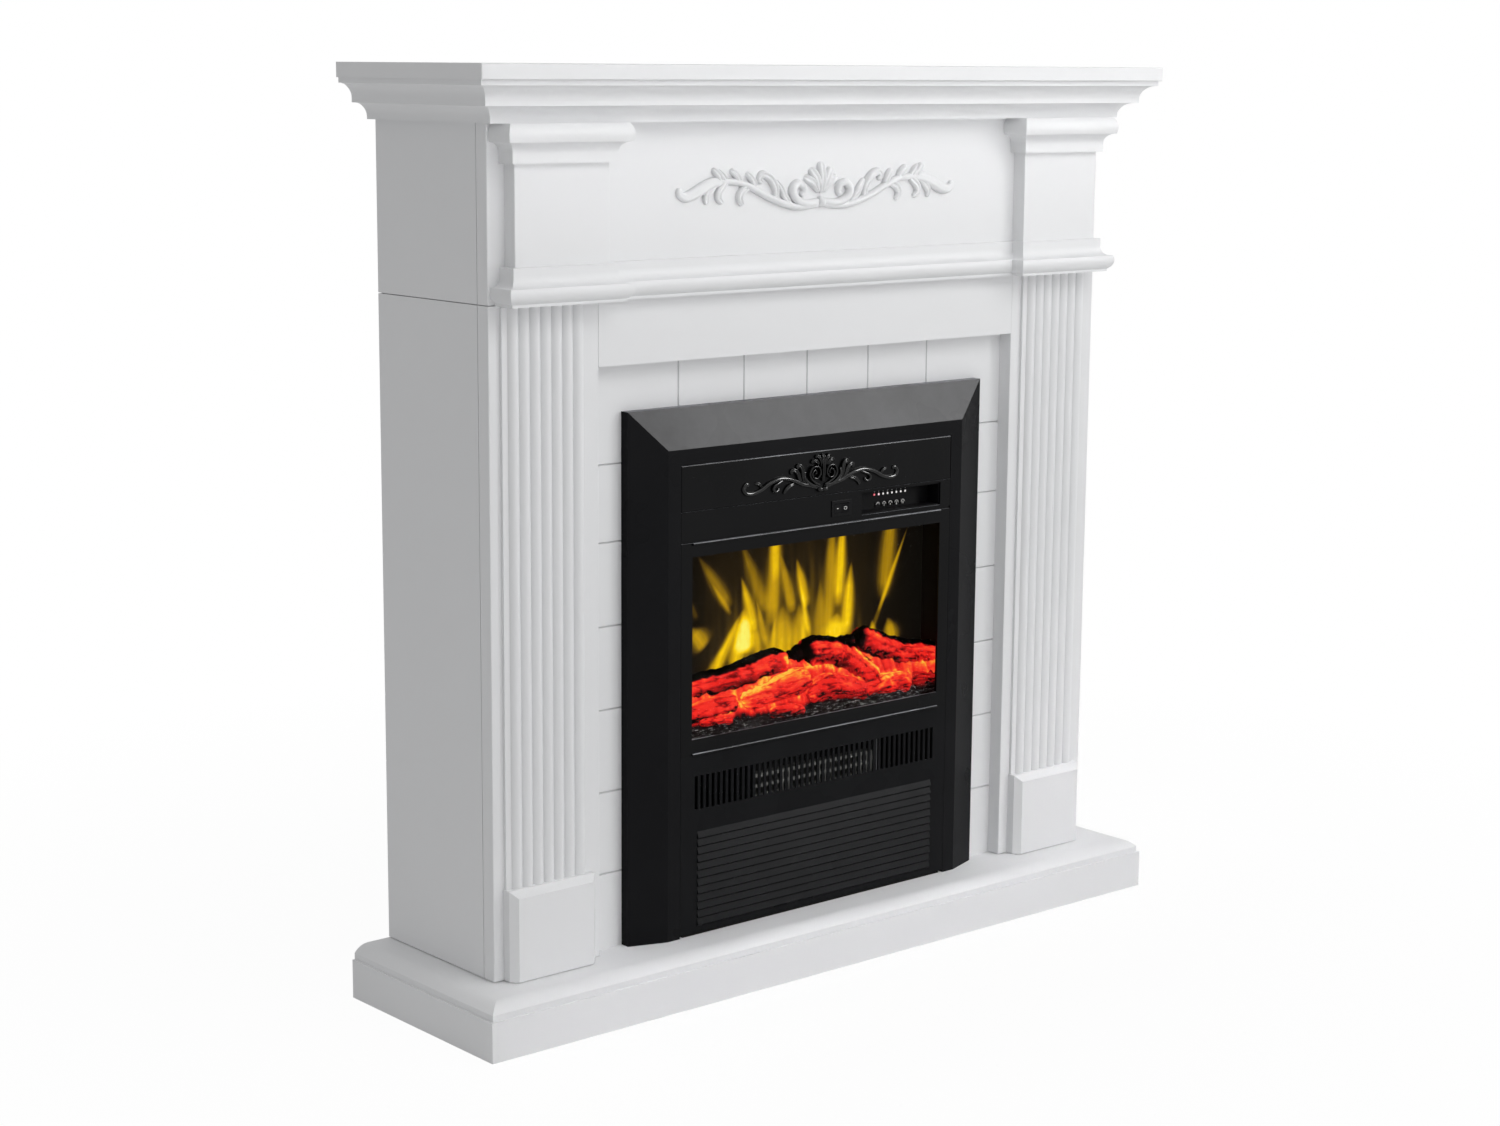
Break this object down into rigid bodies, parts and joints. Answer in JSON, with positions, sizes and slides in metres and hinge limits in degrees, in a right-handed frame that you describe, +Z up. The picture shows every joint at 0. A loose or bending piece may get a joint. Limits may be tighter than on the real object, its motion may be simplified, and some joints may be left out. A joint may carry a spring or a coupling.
{
  "type": "electric fireplace",
  "caption": "Free-standing electric fireplace: white mantel surround with reeded legs and carved frieze ornament, black insert with flame window, switch, push buttons and warm-air outlet.",
  "frame": {"origin": "middle of the hearth's footprint on the floor", "axes": "+Z up, +X to the right seen from the front, +Y towards the wall behind"},
  "size_m": [1.002, 0.268, 1.024],
  "materials": {
    "white_paint": "semi-matte white paint on fibreboard",
    "black_steel": "satin black powder coat on sheet steel",
    "black_ornament": "semi-gloss black casting",
    "black_plastic": "fine-grained black plastic",
    "button_plastic": "matte black key caps",
    "indicator_red": "small clear red lenses",
    "circuit_board": "green solder mask",
    "window_glass": "clear pane",
    "galvanised_sheet": "galvanised folded sheet",
    "ember_resin": "painted translucent resin, lit from below",
    "lamp_board": "white lamp strip",
    "flame_screen": "dark translucent screen with flame image",
    "reflector_foil": "bright reflector foil",
    "motor_casing": "dark motor casing",
    "heater_fins": "thin aluminium fins",
    "blower_wheel": "pressed blades"
  },
  "bodies": {
    "surround": {"architrave_centre": "white_paint", "architrave_left": "white_paint", "architrave_right": "white_paint", "back_rail": "white_paint", "blower_motor": "motor_casing", "cable_gland": "black_plastic", "capital_left": "white_paint", "capital_right": "white_paint", "control_board": "circuit_board", "control_panel": "black_plastic", "control_strip": "black_steel", "crown_front": "white_paint", "crown_left": "white_paint", "crown_right": "white_paint", "firebox_case": "black_steel", "firebox_shelf": "black_steel", "flame_motor": "motor_casing", "flame_screen": "flame_screen", "frieze_board": "white_paint", "frieze_floor": "white_paint", "frieze_ornament": "white_paint", "frieze_side_left": "white_paint", "frieze_side_right": "white_paint", "header_board": "white_paint", "hearth_front_fascia": "white_paint", "hearth_side_fascia_left": "white_paint", "hearth_side_fascia_right": "white_paint", "hearth_top": "white_paint", "heater_duct": "galvanised_sheet", "heating_element": "heater_fins", "indicator_lenses": "indicator_red", "lamp_strip": "lamp_board", "leg_front_left": "white_paint", "leg_front_right": "white_paint", "leg_side_left": "white_paint", "leg_side_right": "white_paint", "log_bed": "ember_resin", "lower_panel": "black_steel", "mantel_shelf": "white_paint", "ornament_panel": "black_steel", "pilaster_block_left": "white_paint", "pilaster_block_right": "white_paint", "plinth_block_left": "white_paint", "plinth_block_right": "white_paint", "reeded_panel_left": "white_paint", "reeded_panel_right": "white_paint", "rocker_housing": "black_plastic", "scroll_ornament": "black_ornament", "tile_panel": "white_paint", "trim_frame": "black_steel", "window_frame": "black_steel", "window_glass": "window_glass"},
    "rocker": {"rocker": "black_plastic"},
    "flame_spinner": {"flame_spinner": "reflector_foil"},
    "blower_wheel": {"blower_wheel": "blower_wheel"},
    "push_button_1": {"push_button_1": "button_plastic"},
    "push_button_2": {"push_button_2": "button_plastic"},
    "push_button_3": {"push_button_3": "button_plastic"},
    "push_button_4": {"push_button_4": "button_plastic"},
    "push_button_5": {"push_button_5": "button_plastic"}
  },
  "joints": [
    {"name": "rocker_tilt", "type": "hinge", "parent": "surround", "child": "rocker", "pos_m": [0.0305, -0.073, 0.5259], "axis": [0, 0, 1], "range_deg": [0, 14]},
    {"name": "flame_spinner_turn", "type": "hinge", "parent": "surround", "child": "flame_spinner", "pos_m": [0, 0.0389, 0.3], "axis": [1, 0, 0], "continuous": true},
    {"name": "blower_wheel_turn", "type": "hinge", "parent": "surround", "child": "blower_wheel", "pos_m": [0, 0.002, 0.22515], "axis": [1, 0, 0], "continuous": true},
    {"name": "push_button_1_press", "type": "slide", "parent": "surround", "child": "push_button_1", "axis": [0, 1, 0], "range_m": [0, 0.0008], "stiffness_N_per_m": 400},
    {"name": "push_button_2_press", "type": "slide", "parent": "surround", "child": "push_button_2", "axis": [0, 1, 0], "range_m": [0, 0.0008], "stiffness_N_per_m": 400},
    {"name": "push_button_3_press", "type": "slide", "parent": "surround", "child": "push_button_3", "axis": [0, 1, 0], "range_m": [0, 0.0008], "stiffness_N_per_m": 400},
    {"name": "push_button_4_press", "type": "slide", "parent": "surround", "child": "push_button_4", "axis": [0, 1, 0], "range_m": [0, 0.0008], "stiffness_N_per_m": 400},
    {"name": "push_button_5_press", "type": "slide", "parent": "surround", "child": "push_button_5", "axis": [0, 1, 0], "range_m": [0, 0.0008], "stiffness_N_per_m": 400}
  ]
}
